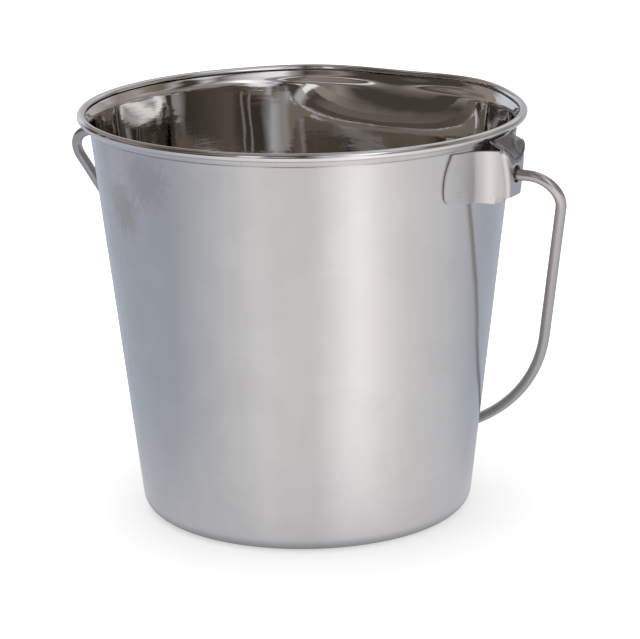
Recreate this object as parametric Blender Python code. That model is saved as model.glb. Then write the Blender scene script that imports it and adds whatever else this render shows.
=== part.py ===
"""A flat-sided stainless-steel bucket: a drawn shell with a rolled rim, two welded ears and a wire bail.

Metres, +Z up. The origin is the middle of the flat bottom, the ears are on the X axis and the flat side
faces +Y. The bail turns about the line through both ear holes and hangs against the flat side.
"""

import math

import bmesh
import bpy
import numpy as np

for old in list(bpy.data.objects):
    bpy.data.objects.remove(old)

# Shell
HEIGHT = 0.2334  # rim top above the floor
BASE_RADIUS = 0.0943  # the round wall's outer radius, carried down to the floor
MOUTH_RADIUS = 0.1211  # the same, carried up to the rim's top
SHEET = 0.0007
BOTTOM_CORNER = 0.009  # outer radius between wall and bottom

# Flat side: half of its corner-to-corner angle, seen from the bucket's axis
FLAT_HALF_ANGLE_NECK = math.radians(32.0)
FLAT_HALF_ANGLE_BASE = math.radians(19.0)
FLAT_CORNER_NECK = 0.025  # radius of the vertical corners beside the flat side
FLAT_CORNER_BASE = 0.055
FLAT_RUN_IN = 0.026  # height in which the round neck dies into the flat
RUN_IN_POWER = 2  # how steeply it starts, right under the neck
CROWN_POWER = 2.3  # how full the neck's bulge is across the flat

# Rolled rim: a round bead whose edge is turned down over the flared neck
RIM_FLARE = 0.0035  # the bead's centre line outside the mouth radius
BEAD_RADIUS = 0.0024
RIM_DIP = 0.0042  # the rim is pressed in at the middle of the flat side
RIM_SWELL = 0.0025  # and pushed out beside it
RIM_DIP_SPREAD = math.radians(62.0)
NECK_DROP = 0.0078  # the neck's foot below the rim's top
BEAD_GRIP = math.radians(25.0)  # the bead's start, below its inner side
BEAD_CLOSE = math.radians(112.0)  # the groove where the bead ends, below its outer side
EDGE_GAP = 0.0003  # turned-down edge to neck
RIM_RADIUS = MOUTH_RADIUS + RIM_FLARE
NECK_HEIGHT = HEIGHT - NECK_DROP
BEAD_HEIGHT = HEIGHT - BEAD_RADIUS
TAPER = math.atan2(MOUTH_RADIUS - BASE_RADIUS, HEIGHT)

# Bail: a bent wire with a head inside each ear
HINGE_DROP = 0.0265  # hinge line below the rim's top
BAIL_WIRE_RADIUS = 0.0031
BAIL_EXTRA_DEPTH = 0.0053  # hinge line to the bow's middle, more than hinge line to floor
BAIL_SHOULDER_REACH = 0.0284  # ear front to the point where stub and leg lines cross
BAIL_SHOULDER_RADIUS = 0.0159
BAIL_LEG_TOE_IN = math.radians(16.5)
BAIL_HEAD_LENGTH = 0.0024
BAIL_HEAD_CHAMFER = 0.0004
BAIL_HEAD_OVERLAP = 0.0007  # the head's radius more than the hole's
BAIL_HEAD_PLAY = 0.0013  # head to the inside of the ear's front
BAIL_WALL_GAP = 0.0003  # the resting bail to the flat side
BAIL_LEAN_RANGE = (math.radians(5), math.radians(80))  # the resting bail's lean is searched in it
HINGE_HEIGHT = HEIGHT - HINGE_DROP
BAIL_DEPTH = HINGE_HEIGHT + BAIL_EXTRA_DEPTH

# Ears: one stamped sheet each, two wings, a boxed front and a tongue
EAR_SHEET = 0.0012
EAR_BOX_DEPTH = 0.01534  # the wall to the front's outer face, at the hinge line
EAR_FRONT_BOW = 0.0012  # the front falls back by this at its ends
EAR_HOLE_CLEARANCE = 0.0018  # wire to hole, all round
EAR_HOLE_RISE = 0.0004  # hole above the hinge line, because the bail hangs in it
EAR_FOLD_MARGIN = 0.0024  # hole to the folded edge between front and tongue
EAR_BELOW_HINGE = 0.0117  # bottom edge
EAR_SIDE_DROP = 0.0039  # the box's sides hang below that edge
EAR_DROP_PLACE = 2 / 3  # the lowest point, as a share of the way from the wing to the front's edge
EAR_ABOVE_HINGE = 0.0170  # top edge at the wing's tip
EAR_BOX_ABOVE_HINGE = 0.0151  # top edge where the wing meets the box
EAR_WING_ANGLE = math.radians(21.4)
EAR_WING_BOW = math.radians(2.1)  # the wing's edge is rounded back by this at its top
EAR_WING_CORNER = 0.005
EAR_BOX_TOP_HALF_WIDTH = 0.0125
EAR_BOX_BOTTOM_HALF_WIDTH = 0.0070
EAR_BOX_SPREAD_POWER = 1.3  # how late the box widens on its way up
EAR_SIDE_RADIUS = 0.016  # the box's side is an arc that curves out of the wing
EAR_FOOT_DROP_SHARE = 0.4  # of the side's drop, left where the side meets the wing
EAR_EDGE_RADIUS = 0.0025
EAR_LIP = 0.0006  # the fold stands out from the front
EAR_TONGUE_DISH = 0.0012
EAR_FOLD_POWER = 3.2  # how round the fold's bow is, where it climbs to the box's sides
EAR_TONGUE_REST = 0.25  # the tongue ends at this share of the way up the rim's turned-down edge
EAR_PUNCH_DEPTH = 0.02
WELD_GAP = 0.0003  # wing to wall
TONGUE_GAP = 0.0004  # tongue to the turned-down edge of the rim
EAR_HOLE_RADIUS = BAIL_WIRE_RADIUS + EAR_HOLE_CLEARANCE
EAR_BOTTOM = HINGE_HEIGHT - EAR_BELOW_HINGE
EAR_TOP = HINGE_HEIGHT + EAR_ABOVE_HINGE
EAR_TOP_AT_BOX = HINGE_HEIGHT + EAR_BOX_ABOVE_HINGE
EAR_FOLD = HINGE_HEIGHT + EAR_HOLE_RISE + EAR_HOLE_RADIUS + EAR_FOLD_MARGIN

# Mesh fineness
AROUND = 72
CORNER_STEPS = 4
BEAD_STEPS = 9
BAIL_BEND_STEPS = 8
BAIL_BOW_STEPS = 13
EAR_ROWS = 12
TONGUE_ROWS = 5
EAR_WING_STEPS = (0, 0.1, 0.3, 1)  # shares of the wing's corner, from its tip
EAR_SIDE_STEPS = 6
EAR_FILLET_STEPS = 3
FILLET_ROOM = 0.45  # share of the shorter run beside a corner that its rounding may take
EAR_FRONT_SHARES = (-0.6, -0.3, 0, 0.3, 0.6)
EAR_HOLE_SIDES = 24
BAIL_ROUNDNESS = 4  # extra points in a quarter of the wire's circle
BAIL_LEAN_SAMPLES = 6  # of each stretch of the bail, tried against the wall


def wall_radius(z):
    """Outer radius of the round wall at a height."""
    return BASE_RADIUS + (MOUTH_RADIUS - BASE_RADIUS) * z / HEIGHT


EAR_FRONT_REACH = wall_radius(HINGE_HEIGHT) + EAR_BOX_DEPTH


def rim_outline(angle):
    """The bead's centre line: distance from the axis in a direction."""
    off = abs(math.remainder(angle - math.pi / 2, 2 * math.pi))
    if off >= RIM_DIP_SPREAD:
        return RIM_RADIUS
    share = off / RIM_DIP_SPREAD
    fade = 0.5 * (1 + math.cos(math.pi * share))
    lift = (RIM_DIP + 2 * RIM_SWELL) * math.sin(math.pi * share) ** 2
    return RIM_RADIUS + fade * (lift - RIM_DIP)


def neck_outside(angle):
    """Outer surface of the neck's foot, where it meets the wall."""
    return rim_outline(angle) + wall_radius(NECK_HEIGHT) - RIM_RADIUS


def flat_distance(z):
    """Outer face of the flat side from the axis: a straight line up the wall, so that the face is plane."""
    low = BASE_RADIUS * math.cos(FLAT_HALF_ANGLE_BASE)
    high = wall_radius(NECK_HEIGHT) * math.cos(FLAT_HALF_ANGLE_NECK)
    return low + (high - low) * z / NECK_HEIGHT


def crown(off, z):
    """How far the round neck still bulges out of the flat side, below the neck."""
    share = abs(off) / FLAT_HALF_ANGLE_NECK
    if share >= 1:
        return 0.0
    depth = min(max((NECK_HEIGHT - z) / FLAT_RUN_IN, 0.0), 1.0)
    fade = (1 - depth) ** RUN_IN_POWER
    bulge = neck_outside(math.pi / 2) - flat_distance(NECK_HEIGHT)
    return bulge * fade * (1 - share**CROWN_POWER)


def wall_outline(angle, z, inset=0.0):
    """Distance of the wall from the axis: a round body, a flat towards +Y and rounded corners between."""
    radius = wall_radius(z) - inset
    flat = flat_distance(z) - inset
    corner = FLAT_CORNER_BASE + (FLAT_CORNER_NECK - FLAT_CORNER_BASE) * z / NECK_HEIGHT - inset
    off = math.remainder(angle - math.pi / 2, 2 * math.pi)
    centre_x = math.sqrt((radius - corner) ** 2 - (flat - corner) ** 2)
    centre_off = math.atan2(centre_x, flat - corner)
    flat_end = math.atan2(centre_x, flat)
    if abs(off) <= flat_end:
        plain = flat / math.cos(off)
    elif abs(off) >= centre_off:
        plain = radius
    else:
        reach = radius - corner
        lean = abs(off) - centre_off
        plain = reach * math.cos(lean) + math.sqrt(corner**2 - (reach * math.sin(lean)) ** 2)
    return plain + crown(off, z)


def ring(distance, z):
    """One level loop of points, all round the axis."""
    turns = [2 * math.pi * i / AROUND for i in range(AROUND)]
    return [(distance(a) * math.cos(a), distance(a) * math.sin(a), z) for a in turns]


def offset_line(points, by):
    """A line beside another one, to its right, with mitred corners."""
    points = np.array(points)
    runs = np.diff(points, axis=0)
    runs /= np.linalg.norm(runs, axis=1)[:, None]
    sides = np.stack([runs[:, 1], -runs[:, 0]], axis=1)
    beside = []
    for i in range(len(points)):
        before = sides[max(i - 1, 0)]
        after = sides[min(i, len(sides) - 1)]
        beside.append(points[i] + by * (before + after) / (1 + before @ after))
    return beside


def rim_lines():
    """The rolled rim's two skins, as offsets from the bead's centre line and heights.

    The first runs up the inside of the neck, over the bead and down the turned edge.
    """
    neck_offset = wall_radius(NECK_HEIGHT) - RIM_RADIUS
    start = math.pi + BEAD_GRIP
    turns = np.linspace(start, -BEAD_CLOSE, BEAD_STEPS + 1)
    bead = [(BEAD_RADIUS * math.cos(a), BEAD_HEIGHT + BEAD_RADIUS * math.sin(a)) for a in turns]
    line = [(neck_offset - SHEET / math.cos(TAPER), NECK_HEIGHT)] + bead
    # the edge's outer face lies two sheets and one gap out from the neck's inside
    neck_run = np.array(line[1]) - np.array(line[0])
    neck_run /= np.linalg.norm(neck_run)
    out = np.array([neck_run[1], -neck_run[0]])
    foot = np.array(line[0]) + out * (2 * SHEET + EDGE_GAP)
    drop = (foot[1] - NECK_HEIGHT) / neck_run[1]
    edge_end = foot - neck_run * drop
    groove = np.array(line[-1])
    line.append(tuple(groove + 0.5 * (edge_end - groove)))
    line.append(tuple(edge_end))
    return line, offset_line(line, SHEET)


def mesh_object(name, points, faces, material):
    """A named object whose faces point one way, shaded smooth with its sharp edges kept."""
    mesh = bpy.data.meshes.new(name)
    mesh.from_pydata([tuple(p) for p in points], [], faces)
    shape = bmesh.new()
    shape.from_mesh(mesh)
    bmesh.ops.recalc_face_normals(shape, faces=shape.faces)
    shape.to_mesh(mesh)
    shape.free()
    mesh.shade_smooth()
    mesh.set_sharp_from_angle(angle=math.radians(35))
    mesh.materials.append(material)
    thing = bpy.data.objects.new(name, mesh)
    bpy.context.scene.collection.objects.link(thing)
    return thing


def steel(name, colour, roughness):
    """A plain stainless-steel material."""
    material = bpy.data.materials.new(name)
    material.use_nodes = True
    shader = material.node_tree.nodes["Principled BSDF"]
    shader.inputs["Base Color"].default_value = (*colour, 1)
    shader.inputs["Metallic"].default_value = 1
    shader.inputs["Roughness"].default_value = roughness
    return material


def make_shell():
    """The drawn body, one closed skin: inside up, over the rolled rim and outside down."""
    corner_turns = np.linspace(0, math.pi / 2 - TAPER, CORNER_STEPS + 1)
    low = BOTTOM_CORNER
    run_in_foot = NECK_HEIGHT - FLAT_RUN_IN
    wall_heights = list(np.linspace(low, run_in_foot, 4))[1:]
    wall_heights += list(np.linspace(run_in_foot, NECK_HEIGHT - SHEET, 8))[1:]

    def corner(turn, skin):
        radius = low - skin
        inset = low - radius * math.sin(turn)
        z = low - radius * math.cos(turn)
        return ring(lambda a: wall_outline(a, z, inset), z)

    def wall(z, skin):
        return ring(lambda a: wall_outline(a, z, skin / math.cos(TAPER)), z)

    seen_line, hidden_line = rim_lines()
    rings = [corner(turn, SHEET) for turn in corner_turns]
    rings += [wall(z, SHEET) for z in wall_heights]
    for line in (seen_line, hidden_line[::-1]):
        for offset, z in line:
            rings.append(ring(lambda a, o=offset: rim_outline(a) + o, z))
    rings += [wall(z, 0) for z in reversed(wall_heights)]
    rings += [corner(turn, 0) for turn in reversed(corner_turns)]

    points = [p for level in rings for p in level]
    faces = []
    for i in range(len(rings) - 1):
        for k in range(AROUND):
            n = (k + 1) % AROUND
            faces.append((i * AROUND + k, i * AROUND + n, (i + 1) * AROUND + n, (i + 1) * AROUND + k))
    last = (len(rings) - 1) * AROUND
    faces.append(tuple(range(AROUND)))
    faces.append(tuple(last + k for k in range(AROUND)))
    mesh_object("bucket_shell", points, faces, steel("satin_sheet", (0.62, 0.61, 0.6), 0.3))


def filleted(points, radii, steps):
    """A plane line with its corners rounded, always with the same number of points."""
    points = np.array(points)
    line = [points[0]]
    for i in range(1, len(points) - 1):
        if radii[i] == 0:
            line.append(points[i])
            continue
        back = points[i - 1] - points[i]
        ahead = points[i + 1] - points[i]
        room = FILLET_ROOM * min(np.linalg.norm(back), np.linalg.norm(ahead))
        back /= np.linalg.norm(back)
        ahead /= np.linalg.norm(ahead)
        half = math.acos(min(max(back @ ahead, -1), 1)) / 2
        cut = min(radii[i] / math.tan(half), room)
        radius = cut * math.tan(half)
        middle = points[i] + (back + ahead) / np.linalg.norm(back + ahead) * radius / math.sin(half)
        start = points[i] + back * cut - middle
        end = points[i] + ahead * cut - middle
        sweep = math.atan2(start[0] * end[1] - start[1] * end[0], start @ end)
        for k in range(steps + 1):
            turn = sweep * k / steps
            c, s = math.cos(turn), math.sin(turn)
            line.append(middle + np.array([c * start[0] - s * start[1], s * start[0] + c * start[1]]))
    line.append(points[-1])
    return line


def ear_half_width(z):
    """Half the width of the ear's boxed front at a height."""
    share = min(max((z - EAR_BOTTOM) / (EAR_TOP_AT_BOX - EAR_BOTTOM), 0), 1)
    spread = EAR_BOX_TOP_HALF_WIDTH - EAR_BOX_BOTTOM_HALF_WIDTH
    return EAR_BOX_BOTTOM_HALF_WIDTH + spread * share**EAR_BOX_SPREAD_POWER


def ear_front(z):
    """Inner face of the boxed front from the bucket's axis."""
    share = (z - HINGE_HEIGHT) / (EAR_TOP_AT_BOX - HINGE_HEIGHT)
    return EAR_FRONT_REACH - EAR_SHEET - EAR_FRONT_BOW * min(share * share, 1)


def ear_section(z):
    """The ear's inner skin at a height, from one wing's tip to the other's."""
    hug = wall_radius(z) + WELD_GAP
    edge = np.array([ear_front(z), ear_half_width(z)])
    # the middle of the side's arc, which is tangent to the wing and ends on the front's edge
    reach = hug + EAR_SIDE_RADIUS
    far = np.linalg.norm(edge)
    swing = math.acos((reach**2 + far**2 - EAR_SIDE_RADIUS**2) / (2 * reach * far))
    foot_angle = math.atan2(edge[1], edge[0]) + swing
    middle = reach * np.array([math.cos(foot_angle), math.sin(foot_angle)])
    ahead = edge - middle
    sweep = math.remainder(math.atan2(ahead[1], ahead[0]) - foot_angle - math.pi, 2 * math.pi)
    side = []
    for k in range(EAR_SIDE_STEPS + 1):
        turn = foot_angle + math.pi + sweep * k / EAR_SIDE_STEPS
        side.append(tuple(middle + EAR_SIDE_RADIUS * np.array([math.cos(turn), math.sin(turn)])))
    bow = ((z - HINGE_HEIGHT) / (EAR_TOP - HINGE_HEIGHT)) ** 2
    tip = EAR_WING_ANGLE - EAR_WING_BOW * bow
    corner = EAR_WING_CORNER / hug
    angles = [tip - corner * share for share in EAR_WING_STEPS]
    angles += list(np.linspace(angles[-1], foot_angle, 4))[1:-1]
    wing = [(hug * math.cos(a), hug * math.sin(a)) for a in angles]
    across = [(edge[0], -edge[1] * share) for share in EAR_FRONT_SHARES]
    right = wing + side
    left = [(x, -y) for x, y in reversed(right)]
    sharp = [0] * (len(right) - 1)
    radii = sharp + [EAR_EDGE_RADIUS] + [0] * len(across) + [EAR_EDGE_RADIUS] + sharp
    return filleted(right + across + left, radii, EAR_FILLET_STEPS)


def make_ear(name, side, material):
    """One stamped ear: two wings, a boxed front with the bail's hole, and a tongue under the rim."""
    columns = len(ear_section(HINGE_HEIGHT))
    wing_columns = len(EAR_WING_STEPS) + 2
    first_front = wing_columns + EAR_SIDE_STEPS
    last_front = columns - 1 - first_front

    def bottom(column):
        from_tip = min(column, columns - 1 - column)
        if from_tip >= len(EAR_WING_STEPS):
            last_corner = len(EAR_WING_STEPS) - 1
            lowest = wing_columns + EAR_DROP_PLACE * EAR_SIDE_STEPS
            places = (last_corner, wing_columns, lowest, first_front)
            return EAR_BOTTOM - EAR_SIDE_DROP * np.interp(from_tip, places, (0, EAR_FOOT_DROP_SHARE, 1, 0))
        left = EAR_WING_CORNER * (1 - EAR_WING_STEPS[from_tip])
        return EAR_BOTTOM + EAR_WING_CORNER - math.sqrt(EAR_WING_CORNER**2 - left**2)

    def top(column):
        y = ear_section(EAR_TOP_AT_BOX)[column][1]
        half = EAR_BOX_TOP_HALF_WIDTH
        if first_front <= column <= last_front:
            share = min(abs(y) / half, 1)
            return EAR_FOLD + (EAR_TOP_AT_BOX - EAR_FOLD) * share**EAR_FOLD_POWER
        tip_y = ear_section(EAR_TOP)[0][1]
        share = min(max((abs(y) - half) / (tip_y - half), 0), 1)
        return EAR_TOP_AT_BOX + (EAR_TOP - EAR_TOP_AT_BOX) * share

    points = []
    for row in range(EAR_ROWS + 1):
        for column in range(columns):
            z = bottom(column) + (top(column) - bottom(column)) * row / EAR_ROWS
            x, y = ear_section(z)[column]
            if row == EAR_ROWS and first_front < column < last_front:
                x += EAR_LIP
            points.append((x, y, z))
    faces = []
    for row in range(EAR_ROWS):
        for column in range(columns - 1):
            a = row * columns + column
            faces.append((a, a + 1, a + columns + 1, a + columns))

    # the tongue goes on from the folded edge, back and up to the rim's turned-down edge
    seen_line = rim_lines()[0]
    edge_foot, edge_middle = np.array(seen_line[-1]), np.array(seen_line[-2])
    rest = edge_foot + EAR_TONGUE_REST * (edge_middle - edge_foot)
    reach = RIM_RADIUS + rest[0] + TONGUE_GAP + EAR_SHEET
    previous = [EAR_ROWS * columns + c for c in range(first_front, last_front + 1)]
    fold = [points[i] for i in previous]
    for row in range(1, TONGUE_ROWS + 1):
        share = row / TONGUE_ROWS
        current = []
        for x, y, z in fold:
            back_x = math.sqrt(reach**2 - y * y)
            dish = EAR_TONGUE_DISH * math.sin(math.pi * share) * (1 - (y / EAR_BOX_TOP_HALF_WIDTH) ** 2)
            current.append(len(points))
            points.append((x + (back_x - x) * share - dish, y, z + (rest[1] - z) * share - dish))
        for c in range(len(current) - 1):
            faces.append((previous[c], previous[c + 1], current[c + 1], current[c]))
        previous = current

    points = [(side * x, side * y, z) for x, y, z in points]
    ear = mesh_object(name, points, faces, material)
    thick = ear.modifiers.new("sheet", "SOLIDIFY")
    thick.thickness = EAR_SHEET
    thick.use_even_offset = True
    # a surface facing away from the bucket grows outwards
    front = max(ear.data.polygons, key=lambda p: side * p.center.x)
    thick.offset = 1 if side * front.normal.x > 0 else -1

    bpy.ops.mesh.primitive_cylinder_add(
        vertices=EAR_HOLE_SIDES, radius=EAR_HOLE_RADIUS, depth=EAR_PUNCH_DEPTH
    )
    punch = bpy.context.object
    punch.name = name + "_punch"
    punch.rotation_euler = (0, math.pi / 2, 0)
    punch.location = (side * EAR_FRONT_REACH, 0, HINGE_HEIGHT + EAR_HOLE_RISE)
    punch.hide_render = True
    punch.display_type = "WIRE"
    hole = ear.modifiers.new("hole", "BOOLEAN")
    hole.operation = "DIFFERENCE"
    hole.object = punch


def bail_line():
    """Half of the bail's centre line in its own plane: sideways from the middle, and down from the hinge.

    The third value of a point is 1 on the head and 0 on the wire.
    """
    head_end = EAR_FRONT_REACH - EAR_SHEET - BAIL_HEAD_PLAY
    half_span = EAR_FRONT_REACH + BAIL_SHOULDER_REACH
    toe = BAIL_LEG_TOE_IN
    turn = math.pi / 2 + toe
    arc_start = half_span - BAIL_SHOULDER_RADIUS * math.tan(turn / 2)
    line = [(head_end - BAIL_HEAD_LENGTH, 0, 1), (head_end, 0, 1), (head_end + BAIL_HEAD_CHAMFER, 0, 0)]
    line.append((0.5 * (head_end + arc_start), 0, 0))
    for angle in np.linspace(0, turn, BAIL_BEND_STEPS + 1):
        across = arc_start + BAIL_SHOULDER_RADIUS * math.sin(angle)
        line.append((across, BAIL_SHOULDER_RADIUS * (1 - math.cos(angle)), 0))
    # the bow is one arc about the middle, tangent to both legs
    bow_radius = (half_span * math.cos(toe) - BAIL_DEPTH * math.sin(toe)) / (1 - math.sin(toe))
    for angle in np.linspace(toe, math.pi / 2, BAIL_BOW_STEPS + 1):
        across = bow_radius * math.cos(angle)
        line.append((across, BAIL_DEPTH - bow_radius * (1 - math.sin(angle)), 0))
    return line


def bail_lean():
    """The angle at which the hanging bail comes to lie against the flat side."""
    line = bail_line()
    samples = []
    for (x0, d0, _), (x1, d1, _) in zip(line[4:-1], line[5:]):
        shares = [k / BAIL_LEAN_SAMPLES for k in range(BAIL_LEAN_SAMPLES + 1)]
        samples += [(x0 + (x1 - x0) * share, d0 + (d1 - d0) * share) for share in shares]

    def gap(lean):
        closest = 1.0
        for x, drop in samples:
            y, z = drop * math.sin(lean), HINGE_HEIGHT - drop * math.cos(lean)
            if BOTTOM_CORNER < z < NECK_HEIGHT:
                beyond = math.hypot(x, y) - wall_outline(math.atan2(y, x), z)
                closest = min(closest, beyond * math.cos(TAPER) - BAIL_WIRE_RADIUS)
        return closest - BAIL_WALL_GAP

    low, high = BAIL_LEAN_RANGE
    for _ in range(40):
        middle = 0.5 * (low + high)
        low, high = (low, middle) if gap(middle) > 0 else (middle, high)
    return high


def make_bail(material):
    """One bent wire with a head on each end, hanging from the hinge line."""
    half = bail_line()
    whole = half + [(-x, d, head) for x, d, head in reversed(half[:-1])]
    curve = bpy.data.curves.new("bail", "CURVE")
    curve.dimensions = "3D"
    curve.bevel_depth = BAIL_WIRE_RADIUS
    curve.bevel_resolution = BAIL_ROUNDNESS
    curve.use_fill_caps = True
    spline = curve.splines.new("POLY")
    spline.points.add(len(whole) - 1)
    for point, (x, drop, head) in zip(spline.points, whole):
        point.co = (x, 0, -drop, 1)
        point.radius = (EAR_HOLE_RADIUS + BAIL_HEAD_OVERLAP) / BAIL_WIRE_RADIUS if head else 1
    curve.materials.append(material)
    bail = bpy.data.objects.new("bail", curve)
    bpy.context.scene.collection.objects.link(bail)
    bail.location = (0, 0, HINGE_HEIGHT)
    bail.rotation_euler = (bail_lean(), 0, 0)


make_shell()
stamped_sheet = steel("stamped_sheet", (0.6, 0.58, 0.57), 0.35)
make_ear("ear_right", 1, stamped_sheet)
make_ear("ear_left", -1, stamped_sheet)
make_bail(steel("drawn_wire", (0.55, 0.52, 0.5), 0.32))
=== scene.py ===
"""A flat-sided stainless-steel bucket on a white studio floor, its bail hanging down round the flat side."""

import math

import bmesh
import bpy
import numpy as np
from mathutils import Matrix, Vector


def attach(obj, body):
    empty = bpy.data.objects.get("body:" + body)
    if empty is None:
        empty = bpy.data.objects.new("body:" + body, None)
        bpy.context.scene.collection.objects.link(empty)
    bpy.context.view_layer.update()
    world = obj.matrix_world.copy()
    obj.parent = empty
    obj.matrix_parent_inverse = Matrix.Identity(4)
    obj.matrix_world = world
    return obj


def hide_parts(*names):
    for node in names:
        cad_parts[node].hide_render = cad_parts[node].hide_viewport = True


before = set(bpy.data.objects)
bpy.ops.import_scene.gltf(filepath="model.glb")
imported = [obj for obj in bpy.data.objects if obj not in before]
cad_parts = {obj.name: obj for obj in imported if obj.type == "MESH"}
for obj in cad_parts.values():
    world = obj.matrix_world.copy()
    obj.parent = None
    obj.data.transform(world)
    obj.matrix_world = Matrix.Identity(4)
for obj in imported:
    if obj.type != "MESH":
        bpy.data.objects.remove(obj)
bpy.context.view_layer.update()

# BUCKET SHELL
# The drawn body: one sheet of stainless steel for the bottom, the tapered wall with its flat side, the neck
# and the rolled rim. Pressed in steps, polished inside and on the bead, and brushed outside on a lathe.
HEIGHT = 0.2334
BASE_RADIUS = 0.0943
MOUTH_RADIUS = 0.1211
SHEET = 0.0007
BOTTOM_CORNER = 0.009
FLAT_HALF_ANGLE_NECK = math.radians(32.0)
FLAT_HALF_ANGLE_BASE = math.radians(19.0)
FLAT_CORNER_NECK = 0.025
FLAT_CORNER_BASE = 0.055
FLAT_RUN_IN = 0.026
RUN_IN_POWER = 2
CROWN_POWER = 2.3
RIM_FLARE = 0.00348  # a hair less than the CAD's 3.5 mm: the finer facets of this rim stay in its box
RIM_RADIUS = MOUTH_RADIUS + RIM_FLARE
BEAD_RADIUS = 0.0024
BEAD_TRIM = 0.00004  # the same hair, off the bead's top
RIM_DIP = 0.0042
RIM_SWELL = 0.0025
RIM_DIP_SPREAD = math.radians(62.0)
NECK_DROP = 0.0078
NECK_HEIGHT = HEIGHT - NECK_DROP
BEAD_GRIP = math.radians(25.0)
BEAD_CLOSE = math.radians(112.0)
EDGE_GAP = 0.0003
BEAD_HEIGHT = HEIGHT - BEAD_TRIM - BEAD_RADIUS
TAPER = math.atan2(MOUTH_RADIUS - BASE_RADIUS, HEIGHT)


def wall_radius(z):
    """Outer radius of the round wall at a height."""
    return BASE_RADIUS + (MOUTH_RADIUS - BASE_RADIUS) * z / HEIGHT


def rim_outline(angle):
    """The bead's centre line: distance from the axis in a direction."""
    off = abs(math.remainder(angle - math.pi / 2, 2 * math.pi))
    if off >= RIM_DIP_SPREAD:
        return RIM_RADIUS
    share = off / RIM_DIP_SPREAD
    fade = 0.5 * (1 + math.cos(math.pi * share))
    lift = (RIM_DIP + 2 * RIM_SWELL) * math.sin(math.pi * share) ** 2
    return RIM_RADIUS + fade * (lift - RIM_DIP)


def flat_distance(z):
    """Outer face of the flat side from the axis."""
    low = BASE_RADIUS * math.cos(FLAT_HALF_ANGLE_BASE)
    high = wall_radius(NECK_HEIGHT) * math.cos(FLAT_HALF_ANGLE_NECK)
    return low + (high - low) * z / NECK_HEIGHT


def crown(off, z):
    """How far the round neck still bulges out of the flat side, below the neck."""
    share = abs(off) / FLAT_HALF_ANGLE_NECK
    if share >= 1:
        return 0.0
    depth = min(max((NECK_HEIGHT - z) / FLAT_RUN_IN, 0.0), 1.0)
    fade = (1 - depth) ** RUN_IN_POWER
    bulge = rim_outline(math.pi / 2) + wall_radius(NECK_HEIGHT) - RIM_RADIUS - flat_distance(NECK_HEIGHT)
    return bulge * fade * (1 - share**CROWN_POWER)


def wall_outline(angle, z, inset=0.0):
    """Distance of the wall from the axis: round, with a flat towards +Y and rounded corners between."""
    radius = wall_radius(z) - inset
    flat = flat_distance(z) - inset
    corner = FLAT_CORNER_BASE + (FLAT_CORNER_NECK - FLAT_CORNER_BASE) * z / NECK_HEIGHT - inset
    off = math.remainder(angle - math.pi / 2, 2 * math.pi)
    centre_x = math.sqrt((radius - corner) ** 2 - (flat - corner) ** 2)
    centre_off = math.atan2(centre_x, flat - corner)
    flat_end = math.atan2(centre_x, flat)
    if abs(off) <= flat_end:
        plain = flat / math.cos(off)
    elif abs(off) >= centre_off:
        plain = radius
    else:
        reach = radius - corner
        lean = abs(off) - centre_off
        plain = reach * math.cos(lean) + math.sqrt(corner**2 - (reach * math.sin(lean)) ** 2)
    return plain + crown(off, z)


def offset_line(points, by):
    """A line beside another one, to its right, with mitred corners."""
    points = np.array(points)
    runs = np.diff(points, axis=0)
    runs /= np.linalg.norm(runs, axis=1)[:, None]
    sides = np.stack([runs[:, 1], -runs[:, 0]], axis=1)
    beside = []
    for i in range(len(points)):
        before = sides[max(i - 1, 0)]
        after = sides[min(i, len(sides) - 1)]
        beside.append(points[i] + by * (before + after) / (1 + before @ after))
    return beside


def rim_lines(bead_steps, edge_steps):
    """The rolled rim's two skins, as offsets from the bead's centre line and heights."""
    neck_offset = wall_radius(NECK_HEIGHT) - RIM_RADIUS
    turns = np.linspace(math.pi + BEAD_GRIP, -BEAD_CLOSE, bead_steps + 1)
    bead = [(BEAD_RADIUS * math.cos(a), BEAD_HEIGHT + BEAD_RADIUS * math.sin(a)) for a in turns]
    line = [(neck_offset - SHEET / math.cos(TAPER), NECK_HEIGHT)] + bead
    neck_run = np.array(line[1]) - np.array(line[0])
    neck_run /= np.linalg.norm(neck_run)
    out = np.array([neck_run[1], -neck_run[0]])
    foot = np.array(line[0]) + out * (2 * SHEET + EDGE_GAP)
    edge_end = foot - neck_run * (foot[1] - NECK_HEIGHT) / neck_run[1]
    groove = np.array(line[-1])
    for share in np.linspace(0, 1, edge_steps + 1)[1:]:
        line.append(tuple(groove + share * (edge_end - groove)))
    return line, offset_line(line, SHEET)


def finished(name, points, faces, slots=(), which=None, sharp=35):
    """A mesh object with smooth shading, its sharp edges kept and a material slot number for each face."""
    mesh = bpy.data.meshes.new(name)
    mesh.from_pydata([tuple(p) for p in points], [], faces)
    shape = bmesh.new()
    shape.from_mesh(mesh)
    bmesh.ops.recalc_face_normals(shape, faces=shape.faces)
    shape.to_mesh(mesh)
    shape.free()
    mesh.shade_smooth()
    mesh.set_sharp_from_angle(angle=math.radians(sharp))
    for material in slots:
        mesh.materials.append(material)
    if which is not None:
        mesh.polygons.foreach_set("material_index", which)
    thing = bpy.data.objects.new(name, mesh)
    bpy.context.scene.collection.objects.link(thing)
    return thing


def add(tree, kind, sockets=None, **settings):
    """A node, with values or links for its named sockets."""
    node = tree.nodes.new("ShaderNode" + kind)
    for name, value in settings.items():
        setattr(node, name, value)
    for key, value in (sockets or {}).items():
        if isinstance(value, bpy.types.NodeSocket):
            tree.links.new(value, node.inputs[key])
        else:
            node.inputs[key].default_value = value
    return node


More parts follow.
